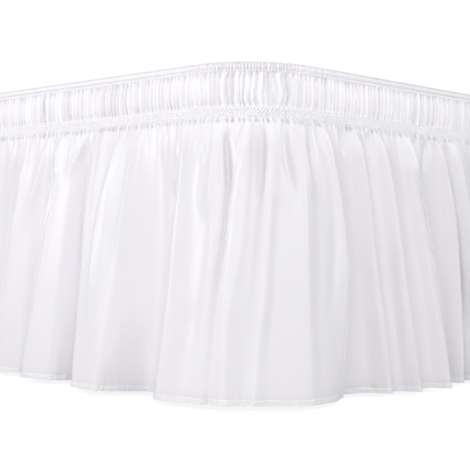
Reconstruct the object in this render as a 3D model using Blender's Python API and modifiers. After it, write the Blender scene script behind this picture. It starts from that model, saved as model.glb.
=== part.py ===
"""A gathered bed skirt with an elastic heading, fitted round a plain box spring on four legs.

Frame: +Z up, origin on the floor under the middle of the bed, +X across the bed, +Y along it
towards the head. The skirt is one closed ring. A place along it is its run: the distance along
the bands' outer face, counterclockwise from the middle of the corner at +X, -Y.
"""

import math
import random
from collections import namedtuple

import bmesh
import bpy
from mathutils import Vector

# Driving dimensions, in metres.
BED_WIDTH = 0.990
BED_LENGTH = 1.905
BED_CORNER_RADIUS = 0.092
SKIRT_TOP = 0.406
HEM_CLEAR = 0.006
UPPER_BAND_TALL = 0.012
HEADING_TALL = 0.0407
LOWER_BAND_TALL = 0.013
BAND_THICK = 0.003
HEADING_THICK = 0.002
HEADING_PUFF = 0.0035
RUFFLE_THICK = 0.0015
FIT_GAP = 0.0003

BOX_SPRING_TALL = 0.228
BOX_SPRING_BELOW_TOP = 0.001
BOX_SPRING_EDGE = 0.010
LEG_INSET = 0.090
LEG_PLATE_RADIUS = 0.034
LEG_PLATE_THICK = 0.006
LEG_TOP_RADIUS = 0.026
LEG_ANKLE_RADIUS = 0.019
LEG_FOOT_RADIUS = 0.021
LEG_FOOT_TALL = 0.018
LEG_FOOT_EDGE = 0.003
LEG_SIDES = 24

# How finely the faceted solids follow the round corners, the sides and the folds.
CORNER_FACETS = 10
SIDE_STEP = 0.050
HEADING_LEVELS = 3
RUFFLE_LEVELS = (0.0, 0.06, 0.2, 0.4, 0.6, 0.8, 1.0)
FRONT_COLUMN = 0.014
PLAIN_COLUMN = 0.021

# The skirt hangs from the bands: the ruffle starts this far out from the bands' outer face.
RUFFLE_TROUGH_START = 0.0004
RUFFLE_CREST_START = 0.0022
HALFWAY = 0.45
LEAST_SWING = 0.6
MOST_SWING = 1.6

# One row for each fold line of the ruffle. Runs and distances out from the bands' face are in
# millimetres: where the line leaves the band, where it passes halfway down and at the hem.
FoldLine = namedtuple("FoldLine", "kind run_top run_half run_hem out_half out_hem")

CORNER_FOLDS = (
    FoldLine("crest", -418, -428, -440, 22, 38),
    FoldLine("slope", -392, -398, -402, 16, 29),
    FoldLine("trough", -372, -378, -382, 7, 13),
    FoldLine("crest", -334, -350, -352, 30, 52),
    FoldLine("slope", -304, -310, -308, 24, 43),
    FoldLine("trough", -276, -268, -280, 3, 6),
    FoldLine("crest", -217, -238, -228, 36, 61),
    FoldLine("slope", -193, -182, -186, 36, 64),
    FoldLine("trough", -140, -126, -138, 3, 3),
    FoldLine("crest", -92, -79, -75, 33, 57),
    FoldLine("trough", -62, -55, -46, 23, 45),
    FoldLine("crest", -38, -34, -35, 35, 51),
    FoldLine("trough", -22, -26, -29, 28, 54),
    FoldLine("crest", -4, -16, -20, 37, 61),
    FoldLine("trough", 9, 0, -4, 27, 54),
    FoldLine("crest", 21, 14, 5, 34, 52),
    FoldLine("trough", 36, 27, 15, 25, 51),
    FoldLine("crest", 57, 47, 37, 36, 58),
    FoldLine("trough", 80, 66, 56, 25, 51),
    FoldLine("crest", 103, 112, 78, 33, 44),
    FoldLine("trough", 122, 137, 166, 12, 12),
    FoldLine("crest", 137, 157, 194, 24, 36),
    FoldLine("slope", 152, 180, 212, 21, 40),
    FoldLine("crest", 172, 211, 238, 32, 50),
    FoldLine("trough", 228, 252, 266, 20, 44),
    FoldLine("crest", 274, 290, 301, 36, 57),
    FoldLine("trough", 302, 314, 332, 5, 8),
    FoldLine("crest", 330, 344, 364, 25, 28),
    FoldLine("slope", 346, 360, 384, 18, 24),
    FoldLine("crest", 372, 392, 412, 30, 42),
    FoldLine("trough", 408, 428, 446, 6, 9),
)

# The other sides repeat the same kind of uneven folds. Ranges in millimetres.
PLAIN_FOLD_PITCH = 124
PLAIN_FOLD_UNEVEN = 0.28
PLAIN_CREST_OUT = (46, 62)
PLAIN_SLOPE_DROP = (2, 14)
PLAIN_TROUGH_OUT = (3, 14)
PLAIN_LEAN = 13
PLAIN_CREST_AT = 0.35
PLAIN_SLOPE_AT = 0.65
PLAIN_CREST_HALF = 0.58
PLAIN_SLOPE_HALF = 0.56
PLAIN_TROUGH_HALF = 0.4
FOLD_SEED = 7

MM = 0.001
LINE_X = BED_WIDTH / 2 + FIT_GAP + BAND_THICK
LINE_Y = BED_LENGTH / 2 + FIT_GAP + BAND_THICK
LINE_RADIUS = BED_CORNER_RADIUS + FIT_GAP + BAND_THICK
SIDE_X = 2 * (LINE_X - LINE_RADIUS)
SIDE_Y = 2 * (LINE_Y - LINE_RADIUS)
ARC = LINE_RADIUS * math.pi / 2
PERIMETER = 2 * (SIDE_X + SIDE_Y) + 4 * ARC

LOWER_BAND_FOOT = SKIRT_TOP - UPPER_BAND_TALL - HEADING_TALL - LOWER_BAND_TALL
RUFFLE_TOP = LOWER_BAND_FOOT - FIT_GAP


def clear_scene():
    for obj in list(bpy.data.objects):
        bpy.data.objects.remove(obj)


def new_collection(name):
    collection = bpy.data.collections.new(name)
    bpy.context.scene.collection.children.link(collection)
    return collection


def finish_material(name, colour, roughness, metallic=0.0):
    material = bpy.data.materials.new(name)
    material.use_nodes = True
    shader = material.node_tree.nodes["Principled BSDF"]
    shader.inputs["Base Color"].default_value = (*colour, 1.0)
    shader.inputs["Roughness"].default_value = roughness
    shader.inputs["Metallic"].default_value = metallic
    return material


def add_object(name, mesh, material, collection):
    mesh.materials.clear()
    mesh.materials.append(material)
    obj = bpy.data.objects.new(name, mesh)
    collection.objects.link(obj)
    return obj


def place_on_line(run, out):
    """The plan position at a run along the bands' outer face, moved outwards by out."""
    sections = (
        (ARC / 2, "arc", (LINE_X, -LINE_Y), -45.0),
        (SIDE_Y, "side", (LINE_X, -SIDE_Y / 2), 0.0),
        (ARC, "arc", (LINE_X, LINE_Y), 0.0),
        (SIDE_X, "side", (SIDE_X / 2, LINE_Y), 90.0),
        (ARC, "arc", (-LINE_X, LINE_Y), 90.0),
        (SIDE_Y, "side", (-LINE_X, SIDE_Y / 2), 180.0),
        (ARC, "arc", (-LINE_X, -LINE_Y), 180.0),
        (SIDE_X, "side", (-SIDE_X / 2, -LINE_Y), 270.0),
        (ARC / 2, "arc", (LINE_X, -LINE_Y), 270.0),
    )
    left = run % PERIMETER
    for length, form, anchor, facing in sections:
        if left <= length:
            break
        left -= length
    if form == "side":
        angle = math.radians(facing)
        x = anchor[0] + out * math.cos(angle) - left * math.sin(angle)
        y = anchor[1] + out * math.sin(angle) + left * math.cos(angle)
        return x, y
    angle = math.radians(facing) + left / LINE_RADIUS
    centre_x = anchor[0] - math.copysign(LINE_RADIUS, anchor[0])
    centre_y = anchor[1] - math.copysign(LINE_RADIUS, anchor[1])
    reach = LINE_RADIUS + out
    return centre_x + reach * math.cos(angle), centre_y + reach * math.sin(angle)


def ring_runs():
    """Runs round the line: the facets of each round corner, and even steps along each side."""
    runs = []
    start = -ARC / 2
    for side in (SIDE_Y, SIDE_X, SIDE_Y, SIDE_X):
        runs += [start + ARC * i / CORNER_FACETS for i in range(CORNER_FACETS)]
        start += ARC
        steps = round(side / SIDE_STEP)
        runs += [start + side * i / steps for i in range(steps)]
        start += side
    return runs


def loft_ring(name, loops):
    """An open surface through closed loops of points, listed from the top down."""
    shape = bmesh.new()
    rows = [[shape.verts.new(point) for point in loop] for loop in loops]
    for upper, lower in zip(rows, rows[1:]):
        for i in range(len(upper)):
            j = (i + 1) % len(upper)
            shape.faces.new((upper[i], lower[i], lower[j], upper[j]))
    mesh = bpy.data.meshes.new(name)
    shape.to_mesh(mesh)
    shape.free()
    mesh.shade_smooth()
    return mesh


def give_thickness(obj, thickness):
    """Grows a surface inwards, towards the bed, into a closed sheet."""
    wall = obj.modifiers.new("thickness", "SOLIDIFY")
    wall.thickness = thickness
    wall.offset = -1.0


def add_ring(name, top, tall, thickness, levels, puff, material, collection):
    """A ring round the bed whose outer face bows out by puff halfway up."""
    loops = []
    for level in range(levels + 1):
        share = level / levels
        out = puff * math.sin(math.pi * share)
        z = top - tall * share
        loops.append([(*place_on_line(run, out), z) for run in ring_runs()])
    ring = add_object(name, loft_ring(name, loops), material, collection)
    give_thickness(ring, thickness)
    return ring


def add_heading(cloth, collection):
    """Upper elastic, shirred strip and lower elastic, one under the other."""
    upper_foot = SKIRT_TOP - UPPER_BAND_TALL
    heading_foot = upper_foot - HEADING_TALL
    heading_top = upper_foot - FIT_GAP
    heading_tall = HEADING_TALL - 2 * FIT_GAP
    add_ring("upper_elastic_band", SKIRT_TOP, UPPER_BAND_TALL, BAND_THICK, 1, 0.0, cloth, collection)
    add_ring(
        "shirred_heading", heading_top, heading_tall, HEADING_THICK, HEADING_LEVELS, HEADING_PUFF,
        cloth, collection,
    )
    add_ring(
        "lower_elastic_band", heading_foot, LOWER_BAND_TALL, BAND_THICK, 1, 0.0, cloth, collection
    )


def plain_fold_lines(start, width, rng):
    """The crest, the slope behind it and the trough of one wide fold, in millimetres."""
    crest = rng.uniform(*PLAIN_CREST_OUT)
    slope = crest - rng.uniform(*PLAIN_SLOPE_DROP)
    trough = rng.uniform(*PLAIN_TROUGH_OUT)
    lean = rng.uniform(-PLAIN_LEAN, PLAIN_LEAN)
    at_crest = start + PLAIN_CREST_AT * width
    at_slope = start + PLAIN_SLOPE_AT * width
    end = start + width
    return (
        FoldLine("crest", at_crest + lean, at_crest + lean / 2, at_crest, PLAIN_CREST_HALF * crest, crest),
        FoldLine("slope", at_slope - lean, at_slope - lean / 2, at_slope, PLAIN_SLOPE_HALF * slope, slope),
        FoldLine("trough", end - lean, end - lean / 2, end, PLAIN_TROUGH_HALF * trough, trough),
    )


def plain_folds(start, end, rng):
    """Fold lines from the trough at start up to the next crest, which is at end."""
    count = round((end - start) / PLAIN_FOLD_PITCH)
    widths = [1 + rng.uniform(-PLAIN_FOLD_UNEVEN, PLAIN_FOLD_UNEVEN) for _ in range(count)]
    scale = (end - start) / (sum(widths) + PLAIN_CREST_AT)
    folds = []
    run = start
    for width in widths:
        folds += plain_fold_lines(run, width * scale, rng)
        run += width * scale
    return folds


def all_folds():
    """Every fold line round the bed, in order of run."""
    first = CORNER_FOLDS[0]
    last = CORNER_FOLDS[-1]
    rest = plain_folds(last.run_hem, first.run_hem + PERIMETER / MM, random.Random(FOLD_SEED))
    return list(CORNER_FOLDS) + rest


def through_three(top, half, hem, share):
    """The smooth curve with the values top at 0, half at HALFWAY and hem at 1."""
    rise = hem - top
    bow = (half - top - rise * HALFWAY) / (HALFWAY * (1 - HALFWAY))
    return top + rise * share + bow * share * (1 - share)


def swing_out(start, half, hem, share):
    """How far out a fold line stands: it leaves the band steeply, then hangs straighter."""
    if share == 0:
        return start
    power = math.log((half - start) / (hem - start)) / math.log(HALFWAY)
    power = min(max(power, LEAST_SWING), MOST_SWING)
    return start + (hem - start) * share**power


def fold_at(fold, share):
    """(run, out) of a fold line at a share of the drop, in metres."""
    start = RUFFLE_CREST_START if fold.kind == "crest" else RUFFLE_TROUGH_START
    run = through_three(fold.run_top, fold.run_half, fold.run_hem, share) * MM
    return run, swing_out(start, fold.out_half * MM, fold.out_hem * MM, share)


def smooth_slopes(runs, outs):
    """Slopes for a smooth closed curve that never passes its own crests and troughs."""
    count = len(runs)
    steps = [(runs[(i + 1) % count] - runs[i]) % PERIMETER for i in range(count)]
    rises = [(outs[(i + 1) % count] - outs[i]) / steps[i] for i in range(count)]
    slopes = []
    for i in range(count):
        before, after = rises[i - 1], rises[i]
        if before * after <= 0:
            slopes.append(0.0)
        else:
            slopes.append(2 * before * after / (before + after))
    return steps, slopes


def ruffle_columns(folds):
    """(fold number, share towards the next fold line) for each column of points."""
    columns = []
    for i, fold in enumerate(folds):
        following = folds[(i + 1) % len(folds)]
        width = ((following.run_hem - fold.run_hem) * MM) % PERIMETER
        travel = math.hypot(width, (following.out_hem - fold.out_hem) * MM)
        step = FRONT_COLUMN if i < len(CORNER_FOLDS) else PLAIN_COLUMN
        count = max(1, round(travel / step))
        columns += [(i, j / count) for j in range(count)]
    return columns


def ruffle_loop(folds, columns, share):
    """One closed loop of points round the ruffle at a share of its drop."""
    runs, outs = zip(*(fold_at(fold, share) for fold in folds))
    steps, slopes = smooth_slopes(runs, outs)
    z = RUFFLE_TOP + (HEM_CLEAR - RUFFLE_TOP) * share
    points = []
    for i, t in columns:
        j = (i + 1) % len(folds)
        out = (
            (2 * t**3 - 3 * t**2 + 1) * outs[i]
            + (t**3 - 2 * t**2 + t) * steps[i] * slopes[i]
            + (3 * t**2 - 2 * t**3) * outs[j]
            + (t**3 - t**2) * steps[i] * slopes[j]
        )
        points.append((*place_on_line(runs[i] + steps[i] * t, out), z))
    return points


def add_ruffle(cloth, collection):
    """The gathered strip: one sheet that hangs in wide, uneven folds."""
    folds = all_folds()
    columns = ruffle_columns(folds)
    loops = [ruffle_loop(folds, columns, share) for share in RUFFLE_LEVELS]
    ruffle = add_object("skirt_ruffle", loft_ring("skirt_ruffle", loops), cloth, collection)
    give_thickness(ruffle, RUFFLE_THICK)
    return ruffle


def add_box_spring(ticking, collection):
    """A plain upholstered block with round corners and softened edges."""
    shape = bmesh.new()
    bmesh.ops.create_cube(shape, size=1.0)
    bmesh.ops.scale(shape, vec=(BED_WIDTH, BED_LENGTH, BOX_SPRING_TALL), verts=shape.verts)
    upright = [
        edge for edge in shape.edges
        if abs((edge.verts[0].co - edge.verts[1].co).normalized().z) > 0.5
    ]
    bmesh.ops.bevel(
        shape, geom=upright, offset=BED_CORNER_RADIUS, offset_type="OFFSET",
        segments=CORNER_FACETS, profile=0.5, affect="EDGES",
    )
    middle = SKIRT_TOP - BOX_SPRING_BELOW_TOP - BOX_SPRING_TALL / 2
    bmesh.ops.translate(shape, vec=Vector((0, 0, middle)), verts=shape.verts)
    mesh = bpy.data.meshes.new("box_spring")
    shape.to_mesh(mesh)
    shape.free()
    base = add_object("box_spring", mesh, ticking, collection)
    edges = base.modifiers.new("soft edges", "BEVEL")
    edges.width = BOX_SPRING_EDGE
    edges.segments = 3
    edges.limit_method = "ANGLE"
    edges.angle_limit = math.radians(60)
    return base


def leg_mesh(tall):
    """The outer side of a turned leg, from its top plate down to its foot."""
    under_plate = tall - LEG_PLATE_THICK
    profile = (
        (0.0, tall),
        (LEG_PLATE_RADIUS, tall),
        (LEG_PLATE_RADIUS, under_plate),
        (LEG_TOP_RADIUS, under_plate - LEG_PLATE_THICK),
        (LEG_ANKLE_RADIUS, LEG_FOOT_TALL),
        (LEG_FOOT_RADIUS, LEG_FOOT_TALL - 2 * LEG_FOOT_EDGE),
        (LEG_FOOT_RADIUS, LEG_FOOT_EDGE),
        (LEG_FOOT_RADIUS - LEG_FOOT_EDGE, 0.0),
        (0.0, 0.0),
    )
    mesh = bpy.data.meshes.new("base_leg")
    edges = [(i, i + 1) for i in range(len(profile) - 1)]
    mesh.from_pydata([(radius, 0.0, z) for radius, z in profile], edges, [])
    return mesh


def add_legs(wood, collection):
    tall = SKIRT_TOP - BOX_SPRING_BELOW_TOP - BOX_SPRING_TALL - FIT_GAP
    mesh = leg_mesh(tall)
    across = BED_WIDTH / 2 - LEG_INSET
    along = BED_LENGTH / 2 - LEG_INSET
    corners = ((across, -along), (across, along), (-across, along), (-across, -along))
    for number, (x, y) in enumerate(corners, start=1):
        leg = add_object(f"base_leg_{number}", mesh, wood, collection)
        leg.location = (x, y, 0.0)
        turn = leg.modifiers.new("turn", "SCREW")
        turn.steps = LEG_SIDES
        turn.render_steps = LEG_SIDES
        turn.use_merge_vertices = True
        turn.merge_threshold = 0.0001


def main():
    clear_scene()
    collection = new_collection("bed_skirt_on_box_spring")
    cloth = finish_material("white polyester", (0.90, 0.90, 0.93), 0.55)
    ticking = finish_material("pale ticking", (0.80, 0.79, 0.76), 0.85)
    wood = finish_material("beech", (0.55, 0.38, 0.22), 0.45)
    add_heading(cloth, collection)
    add_ruffle(cloth, collection)
    add_box_spring(ticking, collection)
    add_legs(wood, collection)


main()
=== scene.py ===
"""The looks of a gathered white bed skirt that fits round a plain box spring on four legs.

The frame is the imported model: metres, +Z up, origin on the floor under the middle of the bed,
+X across the bed and +Y along it. A place along the skirt is its run: the distance along the
bands' outer face, counterclockwise from the middle of the corner at +X, -Y.
"""

import math
import random
from collections import namedtuple

import bmesh
import bpy
import numpy as np
from bpy.props import FloatProperty, FloatVectorProperty, IntProperty, PointerProperty
from mathutils import Matrix, Vector


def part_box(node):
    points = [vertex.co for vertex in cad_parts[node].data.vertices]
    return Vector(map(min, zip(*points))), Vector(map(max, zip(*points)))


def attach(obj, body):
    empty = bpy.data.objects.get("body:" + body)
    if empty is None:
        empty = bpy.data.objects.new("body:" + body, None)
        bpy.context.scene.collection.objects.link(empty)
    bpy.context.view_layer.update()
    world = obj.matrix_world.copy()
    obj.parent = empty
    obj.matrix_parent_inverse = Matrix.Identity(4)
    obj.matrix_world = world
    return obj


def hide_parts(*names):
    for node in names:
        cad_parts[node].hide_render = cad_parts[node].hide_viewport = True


bl_info = {
    "name": "Bed skirt",
    "version": (1, 0, 0),
    "blender": (4, 5, 0),
    "location": "View3D > Sidebar > Bed skirt",
    "description": "Builds a gathered bed skirt with a shirred elastic heading on a box spring",
    "category": "Add Mesh",
}

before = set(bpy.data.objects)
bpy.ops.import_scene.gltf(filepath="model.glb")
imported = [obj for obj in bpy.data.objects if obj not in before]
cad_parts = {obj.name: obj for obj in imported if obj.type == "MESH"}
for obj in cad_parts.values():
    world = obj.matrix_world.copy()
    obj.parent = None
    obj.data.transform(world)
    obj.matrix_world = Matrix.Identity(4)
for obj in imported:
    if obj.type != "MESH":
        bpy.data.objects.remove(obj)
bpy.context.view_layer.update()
BODY = "root"

# ---- The bed and the skirt, in metres, as the frame has them ----

BASE_LOW, BASE_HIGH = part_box("box_spring")
UPPER_LOW, UPPER_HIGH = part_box("upper_elastic_band")
LOWER_LOW, LOWER_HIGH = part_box("lower_elastic_band")

LINE_X = UPPER_HIGH[0]
LINE_Y = UPPER_HIGH[1]
FIT_GAP = 0.0003
BAND_THICK = LINE_X - BASE_HIGH[0] - FIT_GAP
BASE_CORNER_RADIUS = 0.092
LINE_RADIUS = BASE_CORNER_RADIUS + FIT_GAP + BAND_THICK
SIDE_X = 2 * (LINE_X - LINE_RADIUS)
SIDE_Y = 2 * (LINE_Y - LINE_RADIUS)
ARC = LINE_RADIUS * math.pi / 2
PERIMETER = 2 * (SIDE_X + SIDE_Y) + 4 * ARC
CORNER_SIGNS = ((1, -1), (1, 1), (-1, 1), (-1, -1))
CORNER_REACH = 0.11  # how far from a corner's middle the elastic draws the cloth up more
CORNER_RUNS = tuple(
    corner * (ARC + (SIDE_X + SIDE_Y) / 2) + (SIDE_Y - SIDE_X) / 2 * (corner % 2)
    for corner in range(4)
)

# The cloth runs on under the bands, so the heading and the ruffle reach right up to them.
SKIRT_TOP = UPPER_HIGH[2]
HEADING_TOP = UPPER_LOW[2]
HEADING_FOOT = LOWER_HIGH[2]
RUFFLE_TOP = LOWER_LOW[2]
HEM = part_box("skirt_ruffle")[0][2]
DROP = RUFFLE_TOP - HEM
MM = 0.001

# Fullness: the strip's flat length for each metre round the bed.
FULLNESS = 1.5

# The bands' stitch rows, in metres below each band's top.
UPPER_ROWS = (0.0014, 0.0078)
LOWER_ROWS = (0.0016, 0.0048, 0.0080, 0.0112)

# The form of uneven gathers, as the function valleys takes it: how deep they are, how far from
# even their pitch is, how far they lean over, and their square, which is small for broad valleys
# and large for pits.
VALLEY_DEPTHS = (0.65, 1.1)
TUCK_UNEVEN = 0.3
TUCK_TILT = 1.3
TUCK_SQUARE = 0.4
PIT_SQUARE = 3.6
GATHER_SQUARE = 0.8
GATHER_TILT = 0.5
BAND_UNEVEN = 0.16
BAND_SQUARE = 0.7

# Added to the user's seed, so that each of these is uneven in its own way.
SEEDS = {
    "ruffle tucks": 21, "hem": 31, "drift": 41, "tucks": 51, "heading": 52, "upper band": 61,
    "lower band": 63,
}

# ---- The ruffle's fold lines: the solid's, drawn closer to the photograph ----

RUFFLE_TROUGH_START = 0.0004
RUFFLE_CREST_START = 0.0022
HALFWAY = 0.45
CREST_CREASE = 0.62
LEAST_SWING = 0.6
MOST_SWING = 1.6

# One row for each fold line. Runs and distances out from the bands' face are in millimetres:
# where the line leaves the band, where it passes halfway down and at the hem.
FoldLine = namedtuple("FoldLine", "kind run_top run_half run_hem out_half out_hem")

CORNER_FOLDS = tuple(FoldLine(*row) for row in (
    ("crest", -418, -428, -440, 22, 38),
    ("slope", -392, -398, -402, 16, 29),
    ("trough", -372, -378, -382, 7, 13),
    ("crest", -334, -350, -352, 30, 52),
    ("slope", -312, -312, -308, 24, 43),
    ("trough", -288, -278, -280, 3, 6),
    ("crest", -258, -244, -228, 36, 61),
    ("slope", -196, -184, -186, 36, 64),
    ("trough", -140, -126, -138, 6, 14),
    ("crest", -86, -73, -75, 33, 57),
    ("trough", -62, -56, -52, 27, 54),
    ("crest", -38, -34, -38, 35, 57),
    ("trough", -24, -25, -30, 29, 55),
    ("crest", -4, -16, -20, 37, 61),
    ("trough", 9, 0, -6, 27, 53),
    ("crest", 21, 14, 4, 33, 55),
    ("trough", 34, 24, 12, 28, 51),
    ("crest", 57, 49, 45, 35, 57),
    ("trough", 80, 68, 58, 28, 52),
    ("crest", 92, 113, 78, 33, 44),
    ("trough", 108, 128, 144, 9, 8),
    ("slope", 140, 156, 174, 12, 14),
    ("crest", 154, 174, 194, 28, 38),
    ("trough", 168, 184, 202, 14, 26),
    ("slope", 188, 203, 224, 17, 32),
    ("crest", 201, 217, 238, 34, 52),
    ("trough", 216, 232, 250, 14, 32),
    ("slope", 246, 264, 280, 18, 38),
    ("crest", 262, 286, 301, 38, 57),
    ("trough", 279, 300, 318, 4, 6),
    ("slope", 314, 338, 346, 8, 9),
    ("crest", 333, 358, 364, 28, 29),
    ("trough", 348, 372, 384, 7, 6),
    ("crest", 372, 392, 412, 30, 42),
    ("trough", 408, 428, 446, 6, 9),
))

# The plain folds round the rest of the bed, in millimetres. Each has the three fold lines below:
# at is a line's place as a share of the fold's width, side is which way it leans, and half is how
# far out it stands halfway down, as a share of where it stands at the hem.
PLAIN_FOLD_PITCH = 124
PLAIN_FOLD_UNEVEN = 0.28
PLAIN_CREST_OUT = (46, 62)
PLAIN_SLOPE_DROP = (2, 14)
PLAIN_TROUGH_OUT = (3, 14)
PLAIN_LEAN = 13
PlainLine = namedtuple("PlainLine", "kind at side half")
PLAIN_LINES = (
    PlainLine("crest", 0.35, 1, 0.58),
    PlainLine("slope", 0.65, -1, 0.56),
    PlainLine("trough", 1.0, -1, 0.4),
)
FOLD_SEED = 7

# The ruffle hangs in lengths that meet in troughs, out of sight: two at the photographed corner,
# which meet at this place in CORNER_FOLDS, and this many in plain folds.
HIDDEN_SEAM = 8
PLAIN_LENGTHS = 3

# Creases in the folds near the photographed corner, in millimetres: ridges stand up and troughs,
# which have a negative height, lie down. left and right are their widths towards -run and +run,
# start and end are distances below the band, and the runs are at the start, halfway and the end.
Crease = namedtuple("Crease", "height left right start end run_start run_middle run_end")

CREASES = tuple(Crease(*row) for row in (
    (3.0, 4, 5, 6, 82, -456, -465, -476), (3.2, 4, 9, 30, 440, -419, -434, -443),
    (3.5, 7, 9, 8, 150, -377, -395, -421), (3.2, 4, 10, 50, 440, -331, -345, -358),
    (3.8, 6, 4, 6, 78, -292, -304, -326), (2.6, 3, 4, 14, 76, -345, -340, -330),
    (-6.0, 8, 3, 12, 140, -350, -342, -344), (-6.0, 10, 4, 10, 230, -290, -280, -286),
    (3.4, 3, 8, 14, 440, -264, -246, -228), (3.0, 3, 7, 6, 240, -206, -222, -216),
    (-4.0, 7, 6, 2, 34, -228, -230, -232), (-2.4, 10, 9, 300, 440, -176, -172, -176),
    (2.8, 3, 6, 10, 220, -178, -178, -170), (2.6, 3, 4, 8, 62, -126, -130, -136),
    (3.0, 5, 5, 8, 56, -89, -93, -101), (2.4, 3, 4, 6, 56, -105, -101, -98),
    (3.4, 3, 9, 12, 440, -85, -73, -78), (-6.0, 12, 6, 70, 330, -99, -95, -98),
    (2.4, 3, 4, 4, 44, -59, -61, -63), (-3.5, 3, 4, 4, 62, -53, -52, -44),
    (2.6, 5, 3, 3, 130, -41, -38, -37), (-3.5, 12, 9, 36, 120, -62, -66, -72),
    (3.2, 7, 9, 34, 148, -34, -41, -58), (-6.0, 3, 4, 2, 104, -33, -27, -22),
    (2.6, 4, 4, 66, 224, -30, -32, -37), (4.0, 3, 4, 6, 42, -18, -17, -24),
    (3.6, 4, 5, 6, 250, -6, -8, -18), (2.2, 9, 9, 200, 440, -17, -17, -15),
    (1.6, 4, 4, 50, 120, 3, 1, -2), (-4.5, 10, 3, 8, 116, 11, 10, 6),
    (1.8, 3, 9, 8, 300, 16, 14, 3), (-6.5, 3, 5, 2, 108, 34, 36, 43),
    (-2.5, 8, 8, 90, 330, 26, 20, 11), (2.0, 10, 5, 18, 380, 51, 48, 46),
    (-3.0, 6, 7, 10, 84, 62, 64, 62), (2.6, 3, 4, 10, 112, 57, 57, 76),
    (-2.0, 10, 12, 220, 440, -50, -54, -60), (-2.4, 9, 6, 100, 300, -44, -44, -48),
    (-2.5, 8, 6, 8, 260, 92, 96, 68), (3.4, 10, 3, 6, 440, 95, 115, 102),
    (-7.0, 3, 9, 20, 440, 105, 123, 112), (-6.0, 3, 4, 2, 44, 131, 132, 133),
    (3.4, 9, 3, 6, 330, 156, 173, 190), (-6.0, 3, 7, 8, 290, 170, 179, 198),
    (-7.0, 4, 4, 4, 48, 184, 186, 188), (3.4, 9, 3, 6, 330, 201, 217, 228),
    (-6.0, 3, 9, 20, 300, 215, 224, 240), (2.0, 4, 5, 18, 96, 228, 244, 261),
    (-5.0, 4, 4, 2, 60, 283, 279, 275), (-5.5, 5, 5, 2, 66, 309, 306, 292),
    (3.4, 12, 3, 24, 440, 259, 286, 304), (-7.0, 4, 14, 48, 440, 269, 296, 314),
    (3.4, 9, 3, 6, 290, 333, 362, 384), (-6.0, 3, 7, 8, 290, 341, 370, 392),
    (2.4, 3, 3, 4, 170, 373, 368, 368),
))

# Small gathers under the band, from the finest, which fade out first, to the widest.
# Millimetres: pitch, height, how far down they reach, and how far they lean in each metre.
Gather = namedtuple("Gather", "pitch height reach lean seed")

GATHERS = (
    Gather(14.5, 2.2, 34, 150, 12),
    Gather(31.0, 2.0, 100, 90, 13),
)

# ---- Sizes and colours a user would change ----


def srgb(hex_colour):
    """Red, green and blue, from 0 to 1, of a hex colour."""
    return tuple(int(hex_colour[i:i + 2], 16) / 255 for i in (0, 2, 4))


def length_setting(name, description, default, low, high):
    return FloatProperty(
        name=name, description=description, default=default, min=low, max=high, unit="LENGTH",
    )


def colour_setting(name, description, hex_colour):
    return FloatVectorProperty(
        name=name, description=description, subtype="COLOR_GAMMA", size=3,
        default=srgb(hex_colour), min=0.0, max=1.0,
    )


class BedSkirtSizes(bpy.types.PropertyGroup):
    """Sizes of the skirt's finer work"""

    cloth_thick: length_setting(
        "Cloth thickness", "Thickness of the ruffle's cloth as shown", 0.0008, 0.0003, 0.003,
    )
    hem_tall: length_setting(
        "Hem height", "Height of the turned and stitched hem", 0.0065, 0.003, 0.03,
    )
    tuck_pitch: length_setting(
        "Tuck pitch", "Mean distance between the heading's upright tucks", 0.0073, 0.003, 0.02,
    )
    tuck_height: length_setting(
        "Tuck height", "How far a tuck stands out of the heading", 0.0080, 0.0, 0.010,
    )
    band_gather_pitch: length_setting(
        "Band gather pitch", "Mean distance between the bands' fine gathers", 0.0037, 0.002, 0.01,
    )
    stitch_pitch: length_setting(
        "Stitch pitch", "Distance from one machine stitch to the next", 0.0034, 0.001, 0.01,
    )
    stitch_width: length_setting(
        "Thread width", "Width of one stitch of thread", 0.0004, 0.0002, 0.002,
    )
    seed: IntProperty(
        name="Seed", description="Seed of the gathers' unevenness", default=4, min=0,
    )


class BedSkirtColours(bpy.types.PropertyGroup):
    """Colours of the cloth, the bed base and the stage, as sRGB"""

    cloth: colour_setting("Cloth", "Polyester where the light falls on it", "E4E2E6")
    cloth_warm: colour_setting("Cloth, warm patches", "Faint warm patches in the cloth", "E5E2E4")
    # Painted light: the heading and bands are the ruffle's polyester painted lighter.
    gathered_cloth_painted_light: colour_setting(
        "Gathered cloth", "Polyester of the heading and bands, whiter because it lies two and "
        "three thick", "F8F6F9",
    )
    # Painted shade: the heading's and bands' colour deep between their gathers.
    gathered_painted_shade: colour_setting(
        "Deep in the heading's gathers", "Heading and band cloth deep between its gathers", "D7D5DA",
    )
    # Painted light: the ruffle's colour just under the lower band, painted whiter.
    cloth_painted_light_under_band: colour_setting(
        "Near the band", "Ruffle cloth just under the lower band, whiter because its gathers lie "
        "double there", "EEECF0",
    )
    # Painted shade: the ruffle's colour deep between its gathers under the band.
    cloth_painted_shade: colour_setting(
        "Deep in the ruffle's gathers", "Ruffle cloth deep between its gathers", "B3B0B8",
    )
    thread: colour_setting("Thread", "Sewing thread", "EEEDF1")
    ticking: colour_setting("Ticking", "The box spring's woven cover", "E2DFD8")
    wood: colour_setting("Wood", "The legs' lacquered beech", "BA9468")
    floor: colour_setting("Floor", "The plain pale floor", "808080")


def sizes():
    return bpy.context.scene.bed_skirt_sizes


def colours():
    return bpy.context.scene.bed_skirt_colours


# ---- Places along the skirt ----


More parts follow.
